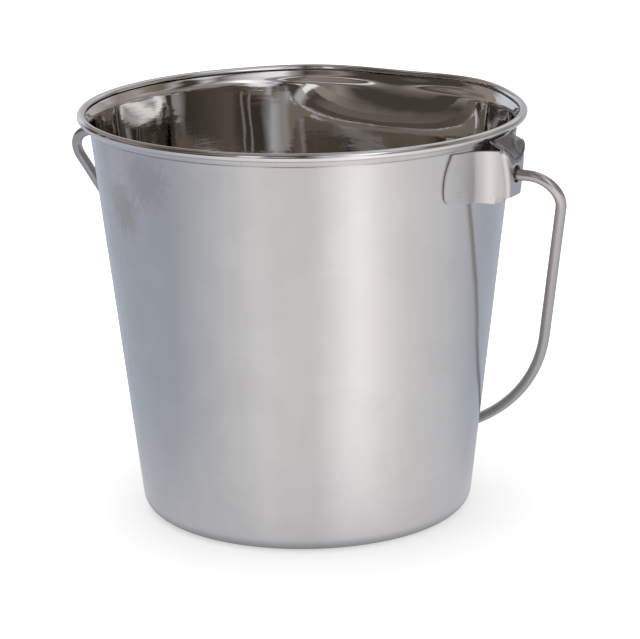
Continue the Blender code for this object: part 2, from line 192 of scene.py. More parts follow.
def ramp(tree, factor, stops, interpolation="LINEAR"):
    """A colour ramp of (place, grey or colour) stops."""
    node = add(tree, "ValToRGB", {"Fac": factor})
    node.color_ramp.interpolation = interpolation
    while len(node.color_ramp.elements) < len(stops):
        node.color_ramp.elements.new(0.5)
    for element, (place, colour) in zip(node.color_ramp.elements, stops):
        element.position = place
        element.color = (*colour, 1) if isinstance(colour, tuple) else (colour, colour, colour, 1)
    return node.outputs["Color"]


def node_group(name, inputs, outputs):
    """An empty shader node group with named sockets, and its two end nodes."""
    tree = bpy.data.node_groups.new(name, "ShaderNodeTree")
    for socket, kind, value in inputs:
        made = tree.interface.new_socket(socket, in_out="INPUT", socket_type="NodeSocket" + kind)
        if value is not None:
            made.default_value = value
    for socket, kind in outputs:
        tree.interface.new_socket(socket, in_out="OUTPUT", socket_type="NodeSocket" + kind)
    return tree, tree.nodes.new("NodeGroupInput"), tree.nodes.new("NodeGroupOutput")


# brushing: long fine lines one way and short the other, with broader streaks between them
brushing, given, made = node_group(
    "brushing",
    [("Place", "Vector", None), ("Stretch", "Vector", (10, 10, 1500)), ("Streak Share", "Float", 0.12)],
    [("Lines", "Float"), ("Streaks", "Float")],
)
fine_place = add(
    brushing, "VectorMath", {0: given.outputs["Place"], 1: given.outputs["Stretch"]}, operation="MULTIPLY"
)
fine = add(
    brushing, "TexNoise", {"Vector": fine_place.outputs[0], "Scale": 1.0, "Detail": 2.0, "Roughness": 0.5}
)
broad_place = add(
    brushing, "VectorMath", {0: fine_place.outputs[0], "Scale": given.outputs["Streak Share"]},
    operation="SCALE",
)
broad = add(
    brushing, "TexNoise", {"Vector": broad_place.outputs[0], "Scale": 1.0, "Detail": 3.0, "Roughness": 0.5}
)
brushing.links.new(fine.outputs["Fac"], made.inputs["Lines"])
brushing.links.new(broad.outputs["Fac"], made.inputs["Streaks"])

# handling: faint smudges from hands and water, and thin scratches that run across each other
handling, given, made = node_group(
    "handling",
    [("Place", "Vector", None), ("Smudge Size", "Float", 0.03), ("Scratch Size", "Float", 0.02)],
    [("Smudges", "Float"), ("Scratches", "Float")],
)
smudge_scale = add(handling, "Math", {0: 1.0, 1: given.outputs["Smudge Size"]}, operation="DIVIDE")
smudge = add(
    handling,
    "TexNoise",
    {"Vector": given.outputs["Place"], "Scale": smudge_scale.outputs[0], "Detail": 4.0, "Distortion": 0.6},
)
smudge_mask = add(handling, "MapRange", {"Value": smudge.outputs["Fac"], "From Min": 0.42, "From Max": 0.72})
scratch_scale = add(handling, "Math", {0: 1.0, 1: given.outputs["Scratch Size"]}, operation="DIVIDE")
scratch_masks = []
for turn in ((0.3, 0.9, 0.2), (1.1, 0.4, 2.0)):
    turned = add(
        handling, "Mapping", {"Vector": given.outputs["Place"], "Rotation": turn, "Scale": (1.0, 0.06, 1.0)}
    )
    cells = add(
        handling,
        "TexVoronoi",
        {"Vector": turned.outputs[0], "Scale": scratch_scale.outputs[0], "Randomness": 1.0},
        feature="DISTANCE_TO_EDGE",
    )
    line = add(handling, "MapRange", {"Value": cells.outputs["Distance"], "From Min": 0.006, "From Max": 0.0})
    gaps = add(handling, "TexNoise", {"Vector": given.outputs["Place"], "Scale": 60.0, "Detail": 1.0})
    kept = add(handling, "MapRange", {"Value": gaps.outputs["Fac"], "From Min": 0.55, "From Max": 0.62})
    both = add(handling, "Math", {0: line.outputs[0], 1: kept.outputs[0]}, operation="MULTIPLY")
    scratch_masks.append(both.outputs[0])
scratches = add(handling, "Math", {0: scratch_masks[0], 1: scratch_masks[1]}, operation="MAXIMUM")
handling.links.new(smudge_mask.outputs[0], made.inputs["Smudges"])
handling.links.new(scratches.outputs[0], made.inputs["Scratches"])


GRAIN_LOW, GRAIN_HIGH = 0.6, 1.4  # what the brushing's lines and streaks add up to, from dark to light
SMUDGE_TONE = 0.97
SMUDGE_ROUGHNESS = 0.06  # as a share of the steel's own
SCRATCH_ROUGHNESS = 0.05
SCRATCH_DEPTH = 0.000002


def painted(tree, tone, mask, colour):
    """The tone so far with another colour laid over it through a mask."""
    sockets = {"Factor": mask, "A": tone, "B": (*colour, 1)}
    return add(tree, "Mix", sockets, data_type="RGBA").outputs["Result"]


def marks_reach(tree, place, spot, size):
    """How far a place is from a mark's middle, along it and in units of its half size."""
    off = add(tree, "VectorMath", {0: place, 1: spot}, operation="SUBTRACT").outputs[0]
    scaled = add(tree, "VectorMath", {0: off, 1: size}, operation="DIVIDE")
    return off, add(tree, "VectorMath", {0: scaled.outputs[0]}, operation="LENGTH").outputs["Value"]


def steel_finish(name, colour, shade, rough, rough_lines, stretch, grain_depth, anisotropy=0.0, along=None,
                 radial=False, ripple=0.0, ripple_stretch=(40, 40, 260), patches_and_reflections=(), rings=()):
    """Stainless steel: brushing lines in colour, roughness and bump, with smudges, scratches, marks, and
    patches whose light and brown tones are painted reflection.
    """
    material = bpy.data.materials.new(name)
    material.use_nodes = True
    tree = material.node_tree
    shader = tree.nodes["Principled BSDF"]
    shader.inputs["Metallic"].default_value = 1.0
    place = add(tree, "TexCoord").outputs["Object"]
    lines_place = place
    if radial:
        split = add(tree, "SeparateXYZ", {0: place})
        level = add(tree, "CombineXYZ", {0: split.outputs[0], 1: split.outputs[1]})
        out = add(tree, "VectorMath", {0: level.outputs[0]}, operation="LENGTH").outputs["Value"]
        lines_place = add(tree, "CombineXYZ", {0: split.outputs[0], 1: split.outputs[1], 2: out}).outputs[0]
    if along:
        lines_place = add(tree, "UVMap", uv_map=along).outputs[0]
    grain = add(tree, "Group", node_tree=brushing)
    tree.links.new(lines_place, grain.inputs["Place"])
    grain.inputs["Stretch"].default_value = stretch
    wear = add(tree, "Group", node_tree=handling)
    tree.links.new(place, wear.inputs["Place"])
    tone = add(tree, "Math", {0: grain.outputs["Lines"], 1: grain.outputs["Streaks"]}, operation="ADD")
    from_span = {"Value": tone.outputs[0], "From Min": GRAIN_LOW, "From Max": GRAIN_HIGH}
    dark = tuple(c * (1 - shade) for c in colour)
    light = tuple(min(c * (1 + shade), 1) for c in colour)
    half_tone = add(tree, "MapRange", from_span)
    base = ramp(tree, half_tone.outputs[0], [(0, dark), (0.5, colour), (1, light)])
    base = painted(tree, base, wear.outputs["Smudges"], tuple(c * SMUDGE_TONE for c in colour))
    # a patch is a polished spot in the brushing, and its tint is painted reflection
    for spot, size, tint, strength in patches_and_reflections:
        off, reach = marks_reach(tree, place, spot, size)
        patchy = add(tree, "TexNoise", {"Vector": off, "Scale": 170.0, "Detail": 3.0, "Distortion": 1.2})
        edge = add(tree, "Math", {0: patchy.outputs["Fac"], 1: reach}, operation="SUBTRACT").outputs[0]
        mask = add(tree, "MapRange", {"Value": edge, "From Min": -0.35, "From Max": 0.15, "To Max": strength})
        base = painted(tree, base, mask.outputs[0], tint)
    for spot, radius, tint in rings:
        off, reach = marks_reach(tree, place, spot, (radius, radius, radius))
        past = add(tree, "Math", {0: reach, 1: 1.0}, operation="SUBTRACT")
        past = add(tree, "Math", {0: past.outputs[0]}, operation="ABSOLUTE").outputs[0]
        mask = add(tree, "MapRange", {"Value": past, "From Min": 0.35, "From Max": 0.0, "To Max": 0.5})
        base = painted(tree, base, mask.outputs[0], tint)
    tree.links.new(base, shader.inputs["Base Color"])
    lined = add(tree, "MapRange", from_span | {"To Min": rough - rough_lines, "To Max": rough + rough_lines})
    for worn, more in (("Smudges", SMUDGE_ROUGHNESS), ("Scratches", SCRATCH_ROUGHNESS)):
        sockets = {0: wear.outputs[worn], 1: more * rough, 2: lined.outputs[0]}
        lined = add(tree, "Math", sockets, operation="MULTIPLY_ADD")
    tree.links.new(lined.outputs[0], shader.inputs["Roughness"])
    bump = add(tree, "Bump", {"Height": grain.outputs["Lines"], "Strength": 1.0, "Distance": grain_depth})
    if ripple:
        wavy_place = add(tree, "VectorMath", {0: lines_place, 1: ripple_stretch}, operation="MULTIPLY")
        wavy = add(tree, "TexNoise", {"Vector": wavy_place.outputs[0], "Scale": 1.0, "Detail": 3.0})
        rippled = add(tree, "Bump", {"Height": wavy.outputs["Fac"], "Strength": 1.0, "Distance": ripple})
        tree.links.new(rippled.outputs[0], bump.inputs["Normal"])
    sockets = {"Height": wear.outputs["Scratches"], "Strength": 0.2, "Distance": SCRATCH_DEPTH}
    cut = add(tree, "Bump", sockets | {"Normal": bump.outputs[0]}, invert=True)
    tree.links.new(cut.outputs[0], shader.inputs["Normal"])
    if anisotropy:
        shader.inputs["Anisotropic"].default_value = anisotropy
        shader.inputs["Anisotropic Rotation"].default_value = 0.25
        around = add(tree, "Tangent", direction_type="RADIAL", axis="Z")
        tree.links.new(around.outputs[0], shader.inputs["Tangent"])
    return material


# the outside's three patches: a polished spot in the brushing, its light and brown colours painted reflection
steel_outside = steel_finish(
    "brushed_outside", (0.62, 0.61, 0.6), shade=0.03, rough=0.25, rough_lines=0.015, stretch=(1.6, 1.6, 700),
    grain_depth=0.0000004, anisotropy=1.0, patches_and_reflections=(
        ((-0.0575, -0.1035, 0.212), (0.016, 0.014, 0.024), (0.7, 0.66, 0.61), 0.6),
        ((-0.0562, -0.1011, 0.19), (0.02, 0.018, 0.024), (0.42, 0.37, 0.33), 0.5),
        ((-0.034, -0.113, 0.21), (0.024, 0.014, 0.022), (0.42, 0.4, 0.39), 0.45),
    ),
)
steel_inside = steel_finish(
    "polished_inside", (0.62, 0.6, 0.57), shade=0.03, rough=0.04, rough_lines=0.01, stretch=(12, 12, 900),
    grain_depth=0.000001, anisotropy=0.8, ripple=0.000045,
)
steel_bead = steel_finish(
    "polished_bead", (0.64, 0.62, 0.6), shade=0.03, rough=0.04, rough_lines=0.01, stretch=(14, 14, 1200),
    grain_depth=0.000001, ripple=0.00004, ripple_stretch=(22, 22, 420),
)
steel_edge = steel_finish(
    "brushed_edge_band", (0.58, 0.56, 0.54), shade=0.05, rough=0.2, rough_lines=0.03, stretch=(5, 5, 1800),
    grain_depth=0.000001, anisotropy=0.8,
)
steel_bottom = steel_finish(
    "turned_bottom", (0.6, 0.59, 0.58), shade=0.06, rough=0.3, rough_lines=0.06, stretch=(9, 9, 1400),
    grain_depth=0.000003, radial=True,
)

SHELL_AROUND = 360
SHELL_WALL_ROWS = 56
SHELL_CORNER_ROWS = 12
SHELL_BEAD_STEPS = 36
SHELL_EDGE_STEPS = 6
SHELL_NECK_STEPS = 7
NECK_ZONE = 0.012  # the wall's upper end, with closer rows
NECK_ZONE_ROWS = 12
NECK_EASE = 0.0008  # how far the crease between wall and neck is spread
NECK_EASE_ZONE = 0.013
NECK_EASE_FADE = 1.6 * NECK_EASE
CORNER_EASE = math.radians(2.0)  # how far the flat side's corners are spread
EDGE_EASE = 0.00022  # rounding of the sheet's cut edge
SWELL_FADE_LOW = 0.03  # the uneven swells fade in over this height at the wall's foot
SWELL_FADE_HIGH = 0.012
SWELLS = (  # depth, waves round the wall, turn with height, start
    (0.00003, 7, 40, 0.4), (0.000022, 13, -65, 2.1), (0.000014, 23, 110, 4.0), (0.00001, 31, -170, 1.2),
    (0.000008, 47, 60, 5.1),
)
BOTTOM_RINGS = (0.9, 0.75, 0.6, 0.45, 0.3, 0.15)
SPLIT_ANGLE = math.radians(-76.3)  # where the rolled sheet's edge has a small split
SPLIT_HALF_WIDTH = 0.00035
SPLIT_DEPTH = 0.0004
SPLIT_COLUMNS = (-2.2, -1.0, -0.8, 0.8, 1.0, 2.2)  # extra columns beside it, in half widths
turns = [2 * math.pi * i / SHELL_AROUND for i in range(SHELL_AROUND)]
for beside in SPLIT_COLUMNS:
    turns.append((SPLIT_ANGLE + beside * SPLIT_HALF_WIDTH / RIM_RADIUS) % (2 * math.pi))
turns = sorted(turns)
columns = len(turns)
corner_turns = np.linspace(0, math.pi / 2 - TAPER, SHELL_CORNER_ROWS + 1)
wall_heights = list(np.linspace(BOTTOM_CORNER, NECK_HEIGHT - NECK_ZONE, SHELL_WALL_ROWS + 1)[1:])
wall_heights += list(np.linspace(NECK_HEIGHT - NECK_ZONE, NECK_HEIGHT - SHEET, NECK_ZONE_ROWS + 1)[1:])


def corner_ring(turn, skin):
    radius = BOTTOM_CORNER - skin
    z = BOTTOM_CORNER - radius * math.cos(turn)
    return [(wall_outline(a, z, BOTTOM_CORNER - radius * math.sin(turn)), z) for a in turns]


def wall_ring(z, skin):
    return [(wall_outline(a, z, skin / math.cos(TAPER)), z) for a in turns]


def rim_ring(offset, z):
    return [(rim_outline(a) + offset, z) for a in turns]


seen_line, hidden_line = rim_lines(SHELL_BEAD_STEPS, SHELL_EDGE_STEPS)
neck_foot, bead_start = np.array(seen_line[0]), np.array(seen_line[1])
neck_shares = np.linspace(0, 1, SHELL_NECK_STEPS + 1)[1:-1]
neck_rows = [tuple(neck_foot + share * (bead_start - neck_foot)) for share in neck_shares]
seen_line[1:1] = neck_rows
edge_foot = np.array(seen_line[-1])
edge_run = edge_foot - np.array(seen_line[-2])
edge_run /= np.linalg.norm(edge_run)
edge_face = np.array(hidden_line[-1]) - edge_foot
edge_face /= np.linalg.norm(edge_face)
seen_line[-1:] = [tuple(edge_foot - edge_run * EDGE_EASE), tuple(edge_foot + edge_face * EDGE_EASE)]
rings, finish_of_row = [], []
INSIDE, BEAD, EDGE, OUTSIDE, BOTTOM = range(5)
for turn in corner_turns:
    rings.append(corner_ring(turn, SHEET))
    finish_of_row.append(INSIDE)
for z in wall_heights:
    rings.append(wall_ring(z, SHEET))
    finish_of_row.append(INSIDE)
first_bead = 1 + len(neck_rows)
first_neck_row = len(rings)
first_edge_row = len(rings) + first_bead + SHELL_BEAD_STEPS + 1
for i, (offset, z) in enumerate(seen_line):
    rings.append(rim_ring(offset, z))
    finish_of_row.append(INSIDE if i < first_bead else BEAD if i < first_bead + SHELL_BEAD_STEPS else EDGE)
for offset, z in hidden_line[::-1]:
    rings.append(rim_ring(offset, z))
    finish_of_row.append(EDGE)
for z in wall_heights[::-1]:
    rings.append(wall_ring(z, 0))
    finish_of_row.append(OUTSIDE)
for turn in corner_turns[::-1]:
    rings.append(corner_ring(turn, 0))
    finish_of_row.append(OUTSIDE)


def unevenness(angles, z):
    """The drawn wall isn't quite true: shallow swells, the same in both of its skins, none at its ends."""
    fade = min(max((z - BOTTOM_CORNER) / SWELL_FADE_LOW, 0), 1)
    fade *= min(max((NECK_HEIGHT - SHEET - z) / SWELL_FADE_HIGH, 0), 1)
    swell = 0
    for depth, around, up, start in SWELLS:
        swell = swell + depth * np.sin(around * angles + up * z + start)
    return swell * fade


# each ring is eased round its corners, as drawn sheet is, where it isn't the rim
profile = np.array([[r for r, z in ring] for ring in rings])
heights = np.array([[z for r, z in ring] for ring in rings])
even = np.array(turns)
near = np.abs((even[:, None] - even[None, :] + math.pi) % (2 * math.pi) - math.pi)
weights = np.exp(-0.5 * (near / CORNER_EASE) ** 2)
for row in range(len(rings)):
    if finish_of_row[row] in (INSIDE, OUTSIDE) and heights[row, 0] < NECK_HEIGHT - 0.5 * SHEET:
        profile[row] = weights @ profile[row] / weights.sum(axis=1)
        profile[row] += unevenness(even, heights[row, 0])
# the crease between wall and neck is soft: the inner rows near it are averaged, and the outer skin follows
inner = [row for row in range(first_neck_row + 1) if heights[row, 0] > NECK_HEIGHT - NECK_EASE_ZONE]
inner += list(range(first_neck_row + 1, first_neck_row + first_bead + 1))
levels = heights[inner, 0]
near = np.exp(-0.5 * ((levels[:, None] - levels[None, :]) / NECK_EASE) ** 2) * np.gradient(levels)[None, :]
hold = np.clip(np.minimum(levels - levels[0], levels[-1] - levels) / NECK_EASE_FADE, 0, 1)[:, None]
eased = near @ profile[inner] / near.sum(axis=1)[:, None]
shift = hold * (eased - profile[inner])
profile[inner] += shift
for row in range(first_edge_row, len(rings)):
    if finish_of_row[row] == OUTSIDE and heights[row, 0] > levels[0]:
        for k in range(columns):
            profile[row, k] += np.interp(heights[row, 0], levels, shift[:, k])
# the split in the rolled sheet's edge is a notch pressed into its outer face
for row in range(first_edge_row, first_edge_row + SHELL_EDGE_STEPS):
    for k, a in enumerate(turns):
        if abs(math.remainder(a - SPLIT_ANGLE, 2 * math.pi)) * RIM_RADIUS < 0.9 * SPLIT_HALF_WIDTH:
            profile[row, k] -= SPLIT_DEPTH
points = []
for row in range(len(rings)):
    for k, a in enumerate(turns):
        points.append((profile[row, k] * math.cos(a), profile[row, k] * math.sin(a), heights[row, k]))
faces, which = [], []
for i in range(len(rings) - 1):
    for k in range(columns):
        n = (k + 1) % columns
        faces.append((i * columns + k, i * columns + n, (i + 1) * columns + n, (i + 1) * columns + k))
        which.append(finish_of_row[i + 1] if finish_of_row[i + 1] == BEAD else finish_of_row[i])
# the bottom's two skins, as rings that shrink to one small face
for first_row, finish in ((0, INSIDE), (len(rings) - 1, BOTTOM)):
    previous = [first_row * columns + k for k in range(columns)]
    for share in BOTTOM_RINGS:
        current = []
        for k in range(columns):
            x, y, z = points[first_row * columns + k]
            current.append(len(points))
            points.append((x * share, y * share, z))
        for k in range(columns):
            n = (k + 1) % columns
            faces.append((previous[k], previous[n], current[n], current[k]))
            which.append(finish)
        previous = current
    faces.append(tuple(previous))
    which.append(finish)
shell = finished(
    "drawn_shell", points, faces, (steel_inside, steel_bead, steel_edge, steel_outside, steel_bottom), which
)
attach(shell, "bucket")
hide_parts("bucket_shell")

# EARS
# Two alike, stamped from one thicker sheet each: wings that hug the wall, where they are spot welded, a
# boxed front with the bail's hole punched in it, and a tongue folded back under the rolled rim. Mill satin.
HINGE_DROP = 0.0265
HINGE_HEIGHT = HEIGHT - HINGE_DROP
WIRE_RADIUS = 0.0031
EAR_SHEET = 0.0012
EAR_BOX_DEPTH = 0.01534
EAR_FRONT_REACH = wall_radius(HINGE_HEIGHT) + EAR_BOX_DEPTH
EAR_FRONT_BOW = 0.0012
EAR_HOLE_CLEARANCE = 0.0018
EAR_HOLE_RADIUS = WIRE_RADIUS + EAR_HOLE_CLEARANCE
EAR_HOLE_RISE = 0.0004
EAR_BOTTOM = HINGE_HEIGHT - 0.0117
EAR_SIDE_DROP = 0.0039
EAR_DROP_PLACE = 2 / 3
EAR_FOOT_DROP_SHARE = 0.4
EAR_TOP = HINGE_HEIGHT + 0.0170
EAR_TOP_AT_BOX = HINGE_HEIGHT + 0.0151
EAR_FOLD_MARGIN = 0.0024
EAR_FOLD = HINGE_HEIGHT + EAR_HOLE_RISE + EAR_HOLE_RADIUS + EAR_FOLD_MARGIN
EAR_WING_ANGLE = math.radians(21.4)
EAR_WING_BOW = math.radians(2.1)
EAR_WING_CORNER = 0.005
EAR_BOX_TOP_HALF_WIDTH = 0.0125
EAR_BOX_BOTTOM_HALF_WIDTH = 0.0070
EAR_BOX_SPREAD_POWER = 1.3
EAR_SIDE_RADIUS = 0.016
EAR_EDGE_RADIUS = 0.0025
EAR_LIP = 0.0006
EAR_LIP_ROWS = 4
EAR_TONGUE_DISH = 0.0006
WELD_GAP = 0.0003
TONGUE_GAP = 0.0004
EAR_ROWS = 40
EAR_TONGUE_ROWS = 16
EAR_WING_STEPS = tuple(1 - math.cos(math.radians(a)) for a in range(0, 91, 15))
EAR_WING_REST = 10
EAR_SIDE_STEPS = 24
EAR_SIDE_SHARE = 0.9  # of the side's arc, before its edge with the front is rounded
EAR_CORNER_FROM, EAR_CORNER_TO = 5 / 6, 0.6  # shares of side and front between which the edge is rounded
EAR_FILLET_STEPS = 8
EAR_BEND_STEPS = 8
EAR_FOLD_POWER = 3.2
EAR_FOLD_CUT = 0.0009
EAR_FOLD_LIFT = 0.0007
EAR_BEND_REACH = 4 * EAR_FOLD_CUT
EAR_BEND_RADIUS = 0.0006
EAR_DART_PLACE = 0.68  # a small dart pressed into the box's side at its foot
EAR_DART_WIDTH = 0.035
EAR_DART_HEIGHT = 0.006
EAR_DART_DEPTH = 0.0009
EAR_DART_POWER = 1.5
EAR_TONGUE_REST = 0.25
EAR_EDGE_EASE = 0.00022
EAR_PUNCH_DEPTH = 0.02
FILLET_ROOM = 0.48  # a fillet's longest cut, as a share of the shorter run beside it
CUT_ANGLE = 50  # degrees between faces, from which an edge of the sheet counts as sharp
EAR_FRONT_SHARES = tuple(np.linspace(1, -1, 17)[1:-1])


def filleted(points, radii, steps):
    """A plane line with its corners rounded, always with the same number of points."""
    points = np.array(points)
    line = [points[0]]
    for i in range(1, len(points) - 1):
        if radii[i] == 0:
            line.append(points[i])
            continue
        back = points[i - 1] - points[i]
        ahead = points[i + 1] - points[i]
        room = FILLET_ROOM * min(np.linalg.norm(back), np.linalg.norm(ahead))
        back /= np.linalg.norm(back)
        ahead /= np.linalg.norm(ahead)
        half = math.acos(min(max(back @ ahead, -1), 1)) / 2
        cut = min(radii[i] / math.tan(half), room)
        radius = cut * math.tan(half)
        middle = points[i] + (back + ahead) / np.linalg.norm(back + ahead) * radius / math.sin(half)
        start = points[i] + back * cut - middle
        end = points[i] + ahead * cut - middle
        sweep = math.atan2(start[0] * end[1] - start[1] * end[0], start @ end)
        for k in range(steps + 1):
            c, s = math.cos(sweep * k / steps), math.sin(sweep * k / steps)
            line.append(middle + np.array([c * start[0] - s * start[1], s * start[0] + c * start[1]]))
    line.append(points[-1])
    return line


def ear_section(z):
    """The ear's inner skin at a height, from one wing's tip to the other's."""
    hug = wall_radius(z) + WELD_GAP
    share = min(max((z - EAR_BOTTOM) / (EAR_TOP_AT_BOX - EAR_BOTTOM), 0), 1)
    wider = (EAR_BOX_TOP_HALF_WIDTH - EAR_BOX_BOTTOM_HALF_WIDTH) * share**EAR_BOX_SPREAD_POWER
    half = EAR_BOX_BOTTOM_HALF_WIDTH + wider
    bow = ((z - HINGE_HEIGHT) / (EAR_TOP_AT_BOX - HINGE_HEIGHT)) ** 2
    edge = np.array([EAR_FRONT_REACH - EAR_SHEET - EAR_FRONT_BOW * min(bow, 1), half])
    # the box's side is an arc, tangent to the wing, that ends on the front's edge
    reach = hug + EAR_SIDE_RADIUS
    far = np.linalg.norm(edge)
    swing = math.acos((reach**2 + far**2 - EAR_SIDE_RADIUS**2) / (2 * reach * far))
    foot_angle = math.atan2(half, edge[0]) + swing
    middle = reach * np.array([math.cos(foot_angle), math.sin(foot_angle)])
    ahead = edge - middle
    sweep = math.remainder(math.atan2(ahead[1], ahead[0]) - foot_angle - math.pi, 2 * math.pi)
    low = EAR_BOTTOM - EAR_SIDE_DROP
    depth = EAR_DART_DEPTH * min(max(1 - (z - low) / EAR_DART_HEIGHT, 0), 1) ** EAR_DART_POWER

    def side_spot(share):
        turn = foot_angle + math.pi + sweep * share
        dent = depth * math.exp(-(((share - EAR_DART_PLACE) / EAR_DART_WIDTH) ** 2))
        return middle + (EAR_SIDE_RADIUS + dent) * np.array([math.cos(turn), math.sin(turn)])

    tip = EAR_WING_ANGLE - EAR_WING_BOW * ((z - HINGE_HEIGHT) / (EAR_TOP - HINGE_HEIGHT)) ** 2
    angles = [tip - EAR_WING_CORNER / hug * step for step in EAR_WING_STEPS]
    angles += list(np.linspace(angles[-1], foot_angle, EAR_WING_REST))[1:-1]
    line = [np.array([hug * math.cos(a), hug * math.sin(a)]) for a in angles]
    line += [side_spot(share) for share in np.linspace(0, EAR_SIDE_SHARE, EAR_SIDE_STEPS)]
    corner = [side_spot(EAR_CORNER_FROM), edge, np.array([edge[0], EAR_CORNER_TO * half])]
    line += filleted(corner, [0, EAR_EDGE_RADIUS, 0], EAR_FILLET_STEPS)[1:-1]
    across = [np.array([edge[0], line[-1][1] * place]) for place in EAR_FRONT_SHARES]
    return line + across + [np.array([x, -y]) for x, y in reversed(line)]


ear_columns = len(ear_section(HINGE_HEIGHT))
ear_foot_column = len(EAR_WING_STEPS) + EAR_WING_REST - 2
ear_first_front = ear_foot_column + EAR_SIDE_STEPS
ear_last_front = ear_columns - 1 - ear_first_front
box_section = ear_section(EAR_TOP_AT_BOX)
tip_y = ear_section(EAR_TOP)[0][1]


def ear_bottom(column):
    """Height of the ear's bottom edge in a column of its grid."""
    from_tip = min(column, ear_columns - 1 - column)
    if from_tip >= len(EAR_WING_STEPS):
        lowest = ear_foot_column + EAR_DROP_PLACE / EAR_SIDE_SHARE * (EAR_SIDE_STEPS - 1)
        places = (len(EAR_WING_STEPS) - 1, ear_foot_column, lowest, ear_first_front + EAR_FILLET_STEPS // 2)
        return EAR_BOTTOM - EAR_SIDE_DROP * np.interp(from_tip, places, (0, EAR_FOOT_DROP_SHARE, 1, 0))
    left = EAR_WING_CORNER * (1 - EAR_WING_STEPS[from_tip])
    return EAR_BOTTOM + EAR_WING_CORNER - math.sqrt(EAR_WING_CORNER**2 - left**2)


def ear_top(column):
    """Height of its top edge, or of the fold between front and tongue."""
    y = abs(box_section[column][1])
    if ear_first_front <= column <= ear_last_front:
        share = min(y / EAR_BOX_TOP_HALF_WIDTH, 1)
        climb = share**EAR_FOLD_POWER
        return EAR_FOLD + (EAR_TOP_AT_BOX - EAR_FOLD) * climb
    share = min(max((y - EAR_BOX_TOP_HALF_WIDTH) / (tip_y - EAR_BOX_TOP_HALF_WIDTH), 0), 1)
    return EAR_TOP_AT_BOX + (EAR_TOP - EAR_TOP_AT_BOX) * share


edge_middle = np.array(seen_line[-2 - SHELL_EDGE_STEPS // 2])
edge_rest = edge_foot + EAR_TONGUE_REST * (edge_middle - edge_foot)
tongue_reach = RIM_RADIUS + edge_rest[0] + TONGUE_GAP + EAR_SHEET
points = []
for row in range(EAR_ROWS + 1):
    for column in range(ear_columns):
        low = ear_bottom(column)
        top = ear_top(column)
        if ear_first_front <= column <= ear_last_front:
            top -= EAR_FOLD_CUT
        z = low + (top - low) * row / EAR_ROWS
        x, y = ear_section(z)[column]
        if ear_first_front < column < ear_last_front:
            x += EAR_LIP * max(0.0, 1 - (EAR_ROWS - row) / EAR_LIP_ROWS) ** 2
        points.append((x, y, z))
faces = []
for row in range(EAR_ROWS):
    for column in range(ear_columns - 1):
        a = row * ear_columns + column
        faces.append((a, a + 1, a + ear_columns + 1, a + ear_columns))
on_tongue = [0] * len(faces)
previous = [EAR_ROWS * ear_columns + c for c in range(ear_first_front, ear_last_front + 1)]
bends = []
for i, column in zip(previous, range(ear_first_front, ear_last_front + 1)):
    x, y, z = points[i]
    fold = np.array([x, z + EAR_FOLD_CUT + EAR_FOLD_LIFT])
    rest = np.array([math.sqrt(tongue_reach**2 - y * y), edge_rest[1]])
    tongue = (rest - fold) / np.linalg.norm(rest - fold)
    corner = [fold - (0, EAR_BEND_REACH), fold, fold + tongue * EAR_BEND_REACH]
    bend = filleted(corner, [0, EAR_BEND_RADIUS, 0], EAR_BEND_STEPS)
    line = list(bend[1:-1])[-EAR_BEND_STEPS:]
    for row in range(1, EAR_TONGUE_ROWS + 1):
        share = row / EAR_TONGUE_ROWS
        dish = EAR_TONGUE_DISH * math.sin(math.pi * share) * (1 - (y / EAR_BOX_TOP_HALF_WIDTH) ** 2)
        start = line[EAR_BEND_STEPS - 1]
        line.append(start + (rest - start) * share - np.array([dish, dish]))
    bends.append([(spot[0], y, spot[1]) for spot in line])
for row in range(len(bends[0])):
    current = []
    for line in bends:
        current.append(len(points))
        points.append(line[row])
    for c in range(len(current) - 1):
        faces.append((previous[c], previous[c + 1], current[c + 1], current[c]))
        on_tongue.append(1)
    previous = current

EAR_GRAIN = {"shade": 0.04, "stretch": (900, 30, 30), "grain_depth": 0.000001}
WELD_MARKS = (
    ((0.115, -0.0357, 0.2149), 0.0017, (0.42, 0.39, 0.36)),
    ((0.1146, -0.0331, 0.2005), 0.0017, (0.42, 0.39, 0.36)),
)
ear_satin = steel_finish(
    "stamped_satin", (0.56, 0.54, 0.525), rough=0.3, rough_lines=0.03, **EAR_GRAIN, rings=WELD_MARKS
)
# the tongue's near-black colour is painted shade: it stands in for the dark reflection the tongue shows under
# the rolled rim
ear_tongue_painted_dark = steel_finish("tongue_painted_dark", (0.26, 0.26, 0.26), rough=0.2, rough_lines=0.03, **EAR_GRAIN)
# the sheared edge is rougher than the faces; its light colour and low metallic are a painted highlight, the
# bright line along the cut edge
ear_cut_edge_and_glint = steel_finish("sheared_edge_and_glint", (0.8, 0.77, 0.74), rough=0.5, rough_lines=0.05, **EAR_GRAIN)
ear_cut_edge_and_glint.node_tree.nodes["Principled BSDF"].inputs["Metallic"].default_value = 0.4
ear_slots = (ear_satin, ear_tongue_painted_dark, ear_cut_edge_and_glint, ear_cut_edge_and_glint)  # the last two are the cut edges of the first two
